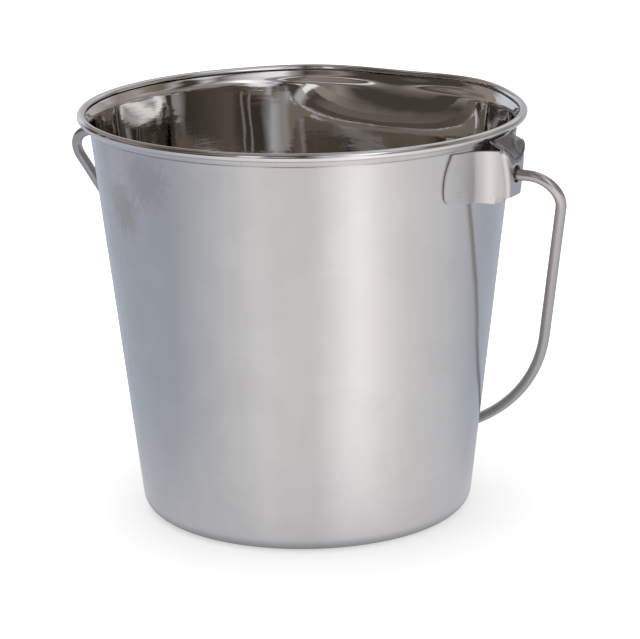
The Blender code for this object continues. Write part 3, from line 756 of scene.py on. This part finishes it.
for name, node, side in (("ear_right_stamping", "ear_right", 1), ("ear_left_stamping", "ear_left", -1)):
    turned = [(side * x, side * y, z) for x, y, z in points]
    ear = finished(name, turned, faces, ear_slots, on_tongue, sharp=CUT_ANGLE)
    thick = ear.modifiers.new("sheet", "SOLIDIFY")
    thick.thickness = EAR_SHEET
    thick.use_even_offset = True
    thick.material_offset_rim = 2
    front_face = max(ear.data.polygons, key=lambda p: side * p.center.x)
    thick.offset = 1 if side * front_face.normal.x > 0 else -1
    bpy.ops.mesh.primitive_cylinder_add(vertices=64, radius=EAR_HOLE_RADIUS, depth=EAR_PUNCH_DEPTH)
    punch = bpy.context.object
    punch.rotation_euler = (0, math.pi / 2, 0)
    punch.location = (side * EAR_FRONT_REACH, 0, HINGE_HEIGHT + EAR_HOLE_RISE)
    hole = ear.modifiers.new("hole", "BOOLEAN")
    hole.operation = "DIFFERENCE"
    hole.object = punch
    eased = ear.modifiers.new("eased_edges", "BEVEL")
    eased.width = EAR_EDGE_EASE
    eased.segments = 3
    eased.limit_method = "ANGLE"
    eased.angle_limit = math.radians(CUT_ANGLE)
    eased.harden_normals = True
    bpy.context.view_layer.update()
    cut = bpy.data.meshes.new_from_object(ear.evaluated_get(bpy.context.evaluated_depsgraph_get()))
    ear.modifiers.clear()
    ear.data = cut
    bpy.data.objects.remove(punch)
    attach(ear, "bucket")
    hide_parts(node)

# BAIL
# One length of drawn stainless wire, bent cold, with a head upset on each end inside its ear. It hangs
# loose in the two holes and rests against the flat side.
BAIL_LEAN = math.radians(26.536848)  # the CAD's, where the bail comes to rest on the flat side
BAIL_EXTRA_DEPTH = 0.0053
BAIL_DEPTH = HINGE_HEIGHT + BAIL_EXTRA_DEPTH
BAIL_SHOULDER_REACH = 0.02836  # a hair less than the CAD's 28.4 mm, as at the rim
BAIL_HALF_SPAN = EAR_FRONT_REACH + BAIL_SHOULDER_REACH
BAIL_SHOULDER_RADIUS = 0.0159
BAIL_TOE_IN = math.radians(16.5)
BAIL_HEAD_LENGTH = 0.0024
BAIL_HEAD_OVERLAP = 0.0007
BAIL_HEAD_RADIUS = EAR_HOLE_RADIUS + BAIL_HEAD_OVERLAP
BAIL_HEAD_PLAY = 0.0013
BAIL_HEAD_CORNER = 0.0006
BAIL_HEAD_EASE = 0.0003
BAIL_NECK = 0.0005  # from the head's front to the plain wire
BAIL_SIDES = 40
BAIL_CORNER_STEPS, BAIL_STUB_STEPS, BAIL_SHOULDER_STEPS = 4, 7, 32
BAIL_LEG_STEPS, BAIL_BOW_STEPS = 17, 59

head_end = EAR_FRONT_REACH - EAR_SHEET - BAIL_HEAD_PLAY
head_start = head_end - BAIL_HEAD_LENGTH
neck_end = head_end + BAIL_NECK
turn = math.pi / 2 + BAIL_TOE_IN
arc_start = BAIL_HALF_SPAN - BAIL_SHOULDER_RADIUS * math.tan(turn / 2)
# half of the wire: how far across, how far down and how thick, from its head to the bow's middle
half_line = [(head_start, 0, 0.0), (head_start, 0, BAIL_HEAD_RADIUS - BAIL_HEAD_CORNER)]
for angle in np.linspace(0, math.pi / 2, BAIL_CORNER_STEPS + 1):
    across = head_start + BAIL_HEAD_CORNER * (1 - math.cos(angle))
    half_line.append((across, 0, BAIL_HEAD_RADIUS - BAIL_HEAD_CORNER * (1 - math.sin(angle))))
half_line += [
    (head_end - BAIL_HEAD_EASE, 0, BAIL_HEAD_RADIUS), (head_end, 0, BAIL_HEAD_RADIUS - BAIL_HEAD_EASE),
    (head_end + 0.4 * BAIL_NECK, 0, WIRE_RADIUS + BAIL_HEAD_EASE), (neck_end, 0, WIRE_RADIUS),
]
for share in np.linspace(0, 1, BAIL_STUB_STEPS + 1)[1:-1]:
    half_line.append((neck_end + (arc_start - neck_end) * share, 0, WIRE_RADIUS))
for angle in np.linspace(0, turn, BAIL_SHOULDER_STEPS + 1):
    across = arc_start + BAIL_SHOULDER_RADIUS * math.sin(angle)
    half_line.append((across, BAIL_SHOULDER_RADIUS * (1 - math.cos(angle)), WIRE_RADIUS))
toe_c, toe_s = math.cos(BAIL_TOE_IN), math.sin(BAIL_TOE_IN)
bow_radius = (BAIL_HALF_SPAN * toe_c - BAIL_DEPTH * toe_s) / (1 - toe_s)
leg_top = np.array(half_line[-1])
leg_foot = np.array([bow_radius * toe_c, BAIL_DEPTH - bow_radius * (1 - toe_s), WIRE_RADIUS])
for share in np.linspace(0, 1, BAIL_LEG_STEPS + 1)[1:-1]:
    half_line.append(tuple(leg_top + (leg_foot - leg_top) * share))
for angle in np.linspace(BAIL_TOE_IN, math.pi / 2, BAIL_BOW_STEPS + 1):
    across = bow_radius * math.cos(angle)
    half_line.append((across, BAIL_DEPTH - bow_radius * (1 - math.sin(angle)), WIRE_RADIUS))
whole_line = half_line + [(-x, d, r) for x, d, r in reversed(half_line[:-1])]
path = np.array([(x, -d) for x, d, r in whole_line])
runs = np.concatenate([[0], np.cumsum(np.linalg.norm(np.diff(path, axis=0), axis=1))])
points, faces, spots = [], [], []
lean_c, lean_s = math.cos(BAIL_LEAN), math.sin(BAIL_LEAN)
for i, (x, d, r) in enumerate(whole_line):
    on_wire = abs(r - WIRE_RADIUS) < 1e-6  # else it is a head, and both heads run towards +X
    way = path[i + 1] - path[i - 1] if on_wire else np.array([1.0, 0.0])
    way = way / np.linalg.norm(way)
    for k in range(BAIL_SIDES):
        a = 2 * math.pi * k / BAIL_SIDES
        flat_x = x - way[1] * r * math.cos(a)
        down = -d + way[0] * r * math.cos(a)
        off = r * math.sin(a)
        points.append((flat_x, off * lean_c - down * lean_s, HINGE_HEIGHT + down * lean_c + off * lean_s))
for i in range(len(whole_line) - 1):
    for k in range(BAIL_SIDES):
        n = (k + 1) % BAIL_SIDES
        a, b = i * BAIL_SIDES, (i + 1) * BAIL_SIDES
        faces.append((a + k, a + n, b + n, b + k))
        u0, u1 = runs[i], runs[i + 1]
        v0, v1 = k / BAIL_SIDES, (k + 1) / BAIL_SIDES
        spots += [(u0, v0), (u0, v1), (u1, v1), (u1, v0)]
wire_satin = steel_finish(
    "drawn_wire", (0.5, 0.47, 0.45), shade=0.06, rough=0.3, rough_lines=0.05, stretch=(30, 40, 0),
    grain_depth=0.000004, along="wire_run",
)
bail_mesh = bpy.data.meshes.new("bail_wire")
bail_mesh.from_pydata(points, [], faces)
wire_run = bail_mesh.uv_layers.new(name="wire_run")
wire_run.data.foreach_set("uv", np.array(spots, float).ravel())
shape = bmesh.new()
shape.from_mesh(bail_mesh)
bmesh.ops.remove_doubles(shape, verts=shape.verts, dist=1e-7)
bmesh.ops.recalc_face_normals(shape, faces=shape.faces)
shape.to_mesh(bail_mesh)
shape.free()
bail_mesh.shade_smooth()
bail_mesh.materials.append(wire_satin)
bail = bpy.data.objects.new("bail_wire", bail_mesh)
bpy.context.scene.collection.objects.link(bail)
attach(bail, "bail")
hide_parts("bail")

# STUDIO
# A white paper floor and background, studio walls and windows that only the steel sees, and four soft lamps.
# Each stands round the bucket by its bearing from the camera's side: 0 is in front, positive to the right.
CAMERA_AZIMUTH = math.radians(29.0)
scene = bpy.context.scene
scene.view_settings.view_transform = "Standard"
world = bpy.data.worlds.new("white_studio")
scene.world = world
world.use_nodes = True
tree = world.node_tree
tree.nodes.clear()
rays = add(tree, "LightPath")
seen = rays.outputs["Is Camera Ray"]
for kind in ("Is Glossy Ray", "Is Transmission Ray"):
    seen = add(tree, "Math", {0: seen, 1: rays.outputs[kind]}, operation="MAXIMUM").outputs[0]
white = add(tree, "Background", {"Color": (1, 1, 1, 1), "Strength": 1.0})
ambient = add(tree, "Background", {"Color": (0.97, 0.98, 1, 1), "Strength": 0.5})
shown = add(tree, "MixShader", {0: seen, 1: ambient.outputs[0], 2: white.outputs[0]})
add(tree, "OutputWorld", {"Surface": shown.outputs[0]})


def bearing_share(tree):
    """The bearing of a place as a share of the full turn, from behind by the left, and the place's parts."""
    split = add(tree, "SeparateXYZ", {0: add(tree, "TexCoord").outputs["Object"]})
    backwards = add(tree, "Math", {0: split.outputs[1], 1: -1.0}, operation="MULTIPLY")
    bearing = add(tree, "Math", {0: split.outputs[0], 1: backwards.outputs[0]}, operation="ARCTAN2")
    share = add(tree, "MapRange", {"Value": bearing.outputs[0], "From Min": -math.pi, "From Max": math.pi})
    return share.outputs[0], split.outputs


def bearing_ramp(tree, share, stops):
    """A colour ramp whose stops are given as (bearing in degrees, colour)."""
    return ramp(tree, share, [((bearing + 180) / 360, colour) for bearing, colour in stops])


FLOOR_REACH = 6.0
FLOOR_GAP = 0.0002
corners = [(x * FLOOR_REACH, y * FLOOR_REACH, 0) for x, y in ((-1, -1), (1, -1), (1, 1), (-1, 1))]
floor_mesh = bpy.data.meshes.new("paper_floor")
floor_mesh.from_pydata(corners, [], [(0, 1, 2, 3)])
floor = bpy.data.objects.new("paper_floor", floor_mesh)
scene.collection.objects.link(floor)
floor.location.z = -FLOOR_GAP
paper = bpy.data.materials.new("white_paper")
paper.use_nodes = True
tree = paper.node_tree
tree.nodes.clear()
share, parts = bearing_share(tree)
place = add(tree, "TexCoord").outputs["Object"]
far = add(tree, "VectorMath", {0: place}, operation="LENGTH").outputs["Value"]
# what the steel sees of the floor is painted into its glow: painted shade under and beside the bucket,
# painted light brightest to the front right of it
SHADED, SOFT = (0.49, 0.53, 0.61), (0.82, 0.83, 0.86)
PALE, BRIGHT = (0.96, 0.93, 0.94), (1.32, 1.28, 1.29)
floor_painted_light = [
    (-180, SHADED), (-75, SHADED), (-40, SOFT), (-15, PALE), (5, PALE), (30, BRIGHT), (55, PALE), (75, SOFT),
    (115, SHADED), (180, SHADED),
]
banded = bearing_ramp(tree, share, floor_painted_light)


def over_distance(near, beyond, low, high, **settings):
    """A value that goes from low to high between two distances from the middle of the floor."""
    sockets = {"Value": far, "From Min": near, "From Max": beyond, "To Min": low, "To Max": high}
    return add(tree, "MapRange", sockets, **settings).outputs[0]


away = over_distance(0.02, 0.26, 0.0, 1.0, interpolation_type="SMOOTHSTEP")
sockets = {"Factor": away, "A": (0.66, 0.67, 0.71, 1), "B": banded}
floor_painted_tone = add(tree, "Mix", sockets, data_type="RGBA").outputs["Result"]
# painted shadow: the glow the steel sees drops to a quarter right at the bucket's base
beside = over_distance(0.084, 0.104, 0.25, 1.1)
seen_by_steel = add(tree, "Emission", {"Color": floor_painted_tone, "Strength": beside})
lit = add(tree, "BsdfDiffuse", {"Color": (0.8, 0.8, 0.8, 1)})
# the floor's own glow is weaker near the bucket: painted shade that deepens its cast shadow close to the
# base, while further off the glow washes the shadow out to white
glow = add(tree, "Emission", {"Color": (1, 1, 1, 1), "Strength": over_distance(0.1, 0.4, 0.5, 1.0)})
both = add(tree, "AddShader", {0: lit.outputs[0], 1: glow.outputs[0]})
rays = add(tree, "LightPath")
looked_at = add(tree, "MixShader", {0: rays.outputs["Is Camera Ray"], 1: lit.outputs[0], 2: both.outputs[0]})
sockets = {0: rays.outputs["Is Glossy Ray"], 1: looked_at.outputs[0], 2: seen_by_steel.outputs[0]}
shown = add(tree, "MixShader", sockets)
add(tree, "OutputMaterial", {"Surface": shown.outputs[0]})
floor_mesh.materials.append(paper)
floor.rotation_euler = (0, 0, CAMERA_AZIMUTH)

DOME_RADIUS = 3.0
DOME_HEIGHT = 0.2
bpy.ops.mesh.primitive_uv_sphere_add(segments=48, ring_count=24, radius=DOME_RADIUS)
studio = bpy.context.object
studio.name = "studio_walls"
studio.rotation_euler = (0, 0, CAMERA_AZIMUTH)
studio.location.z = DOME_HEIGHT
cloth = bpy.data.materials.new("studio_cloth")
cloth.use_nodes = True
tree = cloth.node_tree
tree.nodes.clear()
share, parts = bearing_share(tree)
# walls, windows and lamps round the room at five levels, by bearing, each level up to the next one's height
DARK, BROWN, WALL, GREY = (0.08, 0.07, 0.06), (0.2, 0.17, 0.15), (0.37, 0.33, 0.3), (0.56, 0.55, 0.58)
SKY, WINDOW, LAMP = (0.82, 0.88, 1.0), (1.2, 1.22, 1.3), (1.8, 1.85, 1.95)
skirting = [
    (-180, GREY), (-150, SKY), (-135, DARK), (-124, DARK), (-122, GREY), (-120, DARK), (-115, DARK),
    (-113, GREY), (-111, DARK), (-100, BROWN), (-45, DARK), (-32, GREY), (-22, GREY), (-15, DARK), (5, DARK),
    (22, WINDOW), (28, WINDOW), (35, WALL), (130, WALL), (155, GREY), (180, GREY),
]
seated = [
    (-180, GREY), (-165, WALL), (-95, WALL), (-75, DARK), (-55, BROWN), (-45, DARK), (-35, BROWN),
    (-32, WINDOW), (-24, WINDOW), (-20, WALL), (-12, SKY), (0, DARK), (12, SKY), (20, GREY), (26, WINDOW),
    (38, LAMP), (44, GREY), (75, BROWN), (105, GREY), (130, WALL), (150, SKY), (180, GREY),
]
standing = [
    (-175, GREY), (-165, BROWN), (-145, WALL), (-105, BROWN), (-100, DARK), (-70, DARK), (-50, WALL),
    (-36, WALL), (-33, WINDOW), (-24, WINDOW), (-20, BROWN), (2, DARK), (12, SKY), (20, GREY), (28, WINDOW),
    (45, LAMP), (50, SKY), (60, WALL), (68, GREY), (76, DARK), (84, DARK), (91, GREY), (98, BROWN),
    (115, WALL), (145, SKY), (175, GREY),
]
curtains = [
    (-180, WALL), (-140, DARK), (-120, WALL), (-90, DARK), (-70, DARK), (-55, WALL), (-33, BROWN),
    (-22, BROWN), (0, DARK), (20, GREY), (28, WINDOW), (42, WINDOW), (60, BROWN), (68, SKY), (78, SKY),
    (92, WALL), (100, GREY), (110, WALL), (140, SKY), (165, GREY), (180, WALL),
]
ceiling = [
    (-180, BROWN), (-170, WALL), (-142, BROWN), (-136, WINDOW), (-128, WINDOW), (-120, WALL), (-85, DARK),
    (-60, WALL), (-30, WALL), (5, BROWN), (25, WALL), (38, GREY), (60, WALL), (80, WALL), (96, WINDOW),
    (104, WINDOW), (112, SKY), (142, SKY), (150, WALL), (165, BROWN), (180, BROWN),
]
LEVELS = ((17.5, seated), (32, standing), (48, curtains), (63, ceiling))
tone = bearing_ramp(tree, share, skirting)
for height, stops in LEVELS:
    low, high = (DOME_RADIUS * math.sin(math.radians(height + off)) for off in (-1, 1))
    level = add(tree, "MapRange", {"Value": parts[2], "From Min": low, "From Max": high})
    sockets = {"Factor": level.outputs[0], "A": tone, "B": bearing_ramp(tree, share, stops)}
    tone = add(tree, "Mix", sockets, data_type="RGBA").outputs["Result"]
shine = add(tree, "Emission", {"Color": tone, "Strength": 1.0})
add(tree, "OutputMaterial", {"Surface": shine.outputs[0]})
studio.data.materials.append(cloth)
for sight in ("camera", "diffuse", "shadow", "transmission", "volume_scatter"):
    setattr(studio, "visible_" + sight, False)


LAMP_AIM = 0.12  # the height on the bucket that the lamps face


def softbox(name, azimuth, elevation, distance, size, radiance, colour=(1, 1, 1)):
    """A soft lamp round the bucket, facing it, not seen by the steel. Radiance is how bright its face is."""
    data = bpy.data.lights.new(name, "AREA")
    data.shape = "RECTANGLE"
    data.size, data.size_y = size
    data.energy = radiance * math.pi * size[0] * size[1]
    data.color = colour
    lamp = bpy.data.objects.new(name, data)
    scene.collection.objects.link(lamp)
    turn = CAMERA_AZIMUTH + math.radians(azimuth)
    rise = math.radians(elevation)
    way = Vector((math.sin(turn) * math.cos(rise), -math.cos(turn) * math.cos(rise), math.sin(rise)))
    lamp.location = Vector((0, 0, LAMP_AIM)) + way * distance
    lamp.rotation_euler = way.to_track_quat("Z", "Y").to_euler()
    lamp.visible_camera = False
    lamp.visible_glossy = False


softbox("front_softbox", 12, 30, 1.9, (0.75, 0.8), 1.8, (1, 0.98, 0.95))
softbox("right_softbox", 97, 18, 1.9, (0.9, 0.3), 1.8)
softbox("back_softbox", 180, 40, 1.9, (1.6, 0.7), 1.7)
softbox("overhead_softbox", -70, 72, 1.7, (1.0, 1.0), 1.2)

# CAMERA
# Stands where the photograph's perspective puts it, with a long lens.
CAMERA_ELEVATION = math.radians(15.32)
CAMERA_DISTANCE = 1.7087
CAMERA_ROLL = math.radians(-0.83)
CAMERA_PAN = math.radians(-0.2889)
CAMERA_TILT = math.radians(-0.2658)
CAMERA_LENS = 167.33
CAMERA_SENSOR = 36.0
rise = Vector((0, -math.cos(CAMERA_ELEVATION), math.sin(CAMERA_ELEVATION)))
ahead = -rise
right = Vector((1, 0, 0))
up = right.cross(ahead)
rolled_right = math.cos(CAMERA_ROLL) * right + math.sin(CAMERA_ROLL) * up
rolled_up = -math.sin(CAMERA_ROLL) * right + math.cos(CAMERA_ROLL) * up
pan = Matrix.Rotation(CAMERA_PAN, 3, rolled_up)
panned_right = pan @ rolled_right
tilt = Matrix.Rotation(CAMERA_TILT, 3, panned_right)
ahead = tilt @ (pan @ ahead)
up = tilt @ rolled_up
turned = Matrix.Rotation(CAMERA_AZIMUTH, 3, "Z")
data = bpy.data.cameras.new("studio_camera")
data.sensor_width = CAMERA_SENSOR
data.lens = CAMERA_LENS
camera = bpy.data.objects.new("studio_camera", data)
scene.collection.objects.link(camera)
place = turned @ (rise * CAMERA_DISTANCE) + Vector((0, 0, HEIGHT / 2))
axes = [turned @ panned_right, turned @ up, turned @ -ahead]
camera.matrix_world = Matrix([
    (axes[0].x, axes[1].x, axes[2].x, place.x),
    (axes[0].y, axes[1].y, axes[2].y, place.y),
    (axes[0].z, axes[1].z, axes[2].z, place.z),
    (0, 0, 0, 1),
])
data.clip_start, data.clip_end = 0.05, 30
scene.camera = camera
